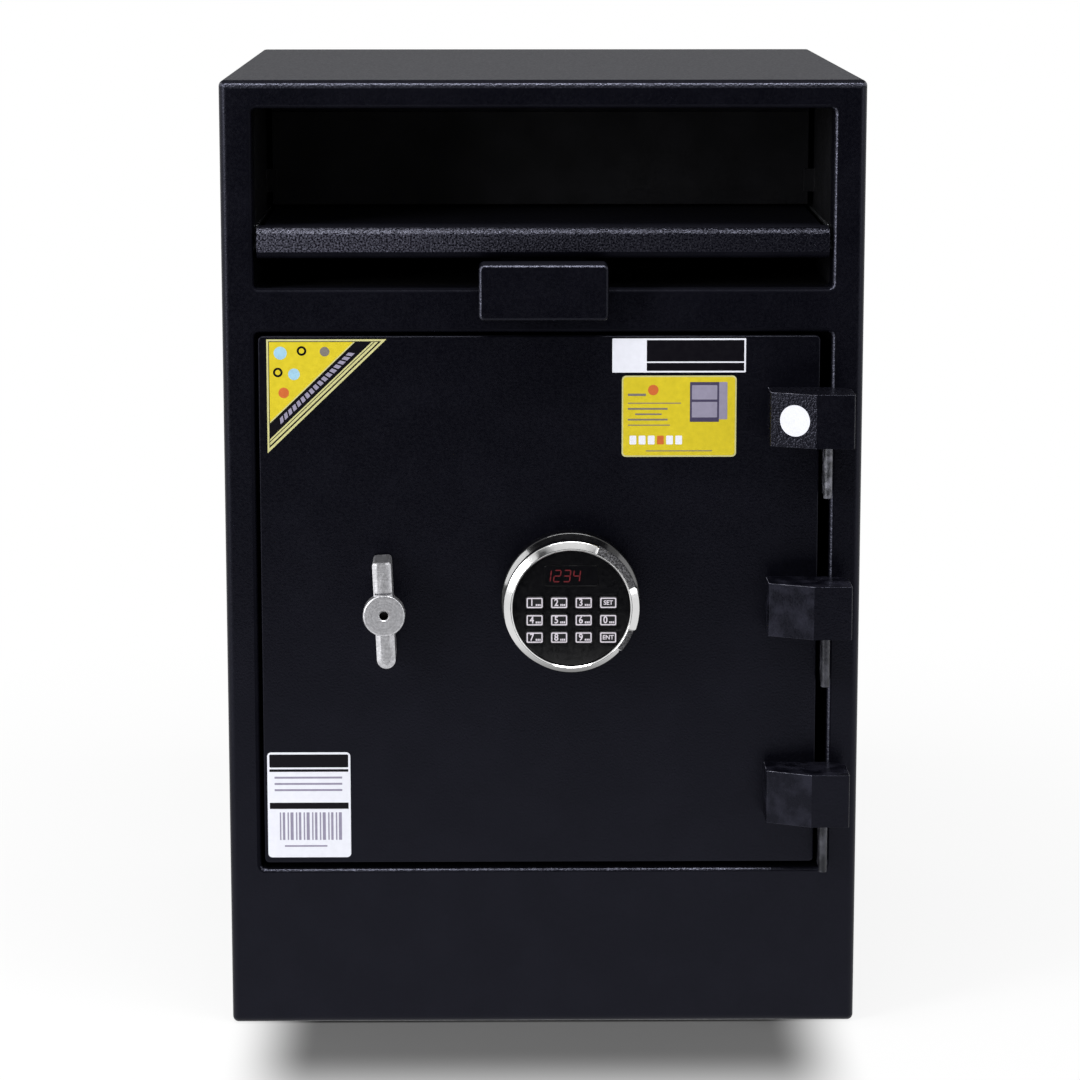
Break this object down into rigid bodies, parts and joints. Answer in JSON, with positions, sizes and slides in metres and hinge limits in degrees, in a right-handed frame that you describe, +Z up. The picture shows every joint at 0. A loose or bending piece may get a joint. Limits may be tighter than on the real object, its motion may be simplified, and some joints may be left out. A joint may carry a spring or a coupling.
{
  "type": "drop safe with deposit drawer",
  "caption": "Steel floor safe with an open deposit niche, a sliding tray over a drop chute, and a hinged vault door with turning handle, keypad lock and outside hinges.",
  "frame": {"origin": "centre of the flat underside of the body", "axes": "+Z up along the height, +X to the right and +Y into the safe for someone facing its front"},
  "size_m": [0.53, 0.588, 0.8],
  "materials": {
    "powder_black": "textured black powder coat",
    "satin_black": "plain satin black paint",
    "insulation": "cast fire insulation, light grey",
    "galvanised": "zinc plated steel",
    "steel": "machined steel",
    "chrome": "bright chrome",
    "satin_zinc": "satin plated zinc casting",
    "gloss_black": "gloss black",
    "display_red": "dark red display window",
    "key_plastic": "black keys with pale legends"
  },
  "bodies": {
    "body": {"outer_shell": "powder_black", "back_panel": "powder_black", "vault_liner": "satin_black", "chamber_liner": "satin_black", "drop_chute": "satin_black", "baffle_plate": "satin_black", "bolt_keeper": "steel", "insulation_left": "insulation", "insulation_right": "insulation", "insulation_top": "insulation", "insulation_base": "insulation", "insulation_back": "insulation", "insulation_band": "insulation", "insulation_apron": "insulation", "drawer_runner_left": "galvanised", "drawer_runner_right": "galvanised", "flap_rod": "steel", "hinge_lug_upper": "powder_black", "hinge_lug_middle": "powder_black", "hinge_lug_lower": "powder_black", "hinge_pin_upper": "steel", "hinge_pin_middle": "steel", "hinge_pin_lower": "steel"},
    "door": {"door_plate": "powder_black", "door_pan": "satin_black", "door_back_cover": "satin_black", "door_insulation": "insulation", "bolt_guide": "galvanised", "lock_case": "galvanised", "keypad_base": "gloss_black", "keypad_housing": "gloss_black", "keypad_bezel": "chrome", "keypad_face": "gloss_black", "keypad_display": "display_red", "hinge_cap_upper": "powder_black", "hinge_cap_middle": "powder_black", "hinge_cap_lower": "powder_black"},
    "handle": {"turning_handle": "satin_zinc", "crank_spindle": "steel"},
    "boltwork": {"bolt_bar": "galvanised", "locking_bolt_1": "chrome", "locking_bolt_2": "chrome", "locking_bolt_3": "chrome"},
    "drawer": {"drawer_tray": "powder_black", "drawer_pull": "powder_black"},
    "flap": {"deposit_flap": "satin_black"},
    "key_1_1": {"key_1_1": "key_plastic"},
    "key_1_2": {"key_1_2": "key_plastic"},
    "key_1_3": {"key_1_3": "key_plastic"},
    "key_1_4": {"key_1_4": "key_plastic"},
    "key_2_1": {"key_2_1": "key_plastic"},
    "key_2_2": {"key_2_2": "key_plastic"},
    "key_2_3": {"key_2_3": "key_plastic"},
    "key_2_4": {"key_2_4": "key_plastic"},
    "key_3_1": {"key_3_1": "key_plastic"},
    "key_3_2": {"key_3_2": "key_plastic"},
    "key_3_3": {"key_3_3": "key_plastic"},
    "key_3_4": {"key_3_4": "key_plastic"}
  },
  "joints": [
    {"name": "door_hinge", "type": "hinge", "parent": "body", "child": "door", "pos_m": [0.2347, -0.292, 0.365], "axis": [0, 0, 1], "range_deg": [0, 95]},
    {"name": "handle_turn", "type": "hinge", "parent": "door", "child": "handle", "pos_m": [-0.132, -0.29, 0.3625], "axis": [0, 1, 0], "range_deg": [0, 90]},
    {"name": "bolt_slide", "type": "slide", "parent": "door", "child": "boltwork", "axis": [-1, 0, 0], "range_m": [0, 0.02]},
    {"name": "drawer_slide", "type": "slide", "parent": "body", "child": "drawer", "axis": [0, -1, 0], "range_m": [0, 0.15]},
    {"name": "flap_swing", "type": "hinge", "parent": "body", "child": "flap", "pos_m": [0, -0.08, 0.768], "axis": [1, 0, 0], "range_deg": [0, 75]},
    {"name": "key_1_1_press", "type": "slide", "parent": "door", "child": "key_1_1", "axis": [0, 1, 0], "range_m": [0, 0.001], "stiffness_N_per_m": 200},
    {"name": "key_1_2_press", "type": "slide", "parent": "door", "child": "key_1_2", "axis": [0, 1, 0], "range_m": [0, 0.001], "stiffness_N_per_m": 200},
    {"name": "key_1_3_press", "type": "slide", "parent": "door", "child": "key_1_3", "axis": [0, 1, 0], "range_m": [0, 0.001], "stiffness_N_per_m": 200},
    {"name": "key_1_4_press", "type": "slide", "parent": "door", "child": "key_1_4", "axis": [0, 1, 0], "range_m": [0, 0.001], "stiffness_N_per_m": 200},
    {"name": "key_2_1_press", "type": "slide", "parent": "door", "child": "key_2_1", "axis": [0, 1, 0], "range_m": [0, 0.001], "stiffness_N_per_m": 200},
    {"name": "key_2_2_press", "type": "slide", "parent": "door", "child": "key_2_2", "axis": [0, 1, 0], "range_m": [0, 0.001], "stiffness_N_per_m": 200},
    {"name": "key_2_3_press", "type": "slide", "parent": "door", "child": "key_2_3", "axis": [0, 1, 0], "range_m": [0, 0.001], "stiffness_N_per_m": 200},
    {"name": "key_2_4_press", "type": "slide", "parent": "door", "child": "key_2_4", "axis": [0, 1, 0], "range_m": [0, 0.001], "stiffness_N_per_m": 200},
    {"name": "key_3_1_press", "type": "slide", "parent": "door", "child": "key_3_1", "axis": [0, 1, 0], "range_m": [0, 0.001], "stiffness_N_per_m": 200},
    {"name": "key_3_2_press", "type": "slide", "parent": "door", "child": "key_3_2", "axis": [0, 1, 0], "range_m": [0, 0.001], "stiffness_N_per_m": 200},
    {"name": "key_3_3_press", "type": "slide", "parent": "door", "child": "key_3_3", "axis": [0, 1, 0], "range_m": [0, 0.001], "stiffness_N_per_m": 200},
    {"name": "key_3_4_press", "type": "slide", "parent": "door", "child": "key_3_4", "axis": [0, 1, 0], "range_m": [0, 0.001], "stiffness_N_per_m": 200}
  ],
  "couplings": [
    {"joint": "bolt_slide", "follows": "handle_turn", "m_per_rad": 0.01273}
  ]
}
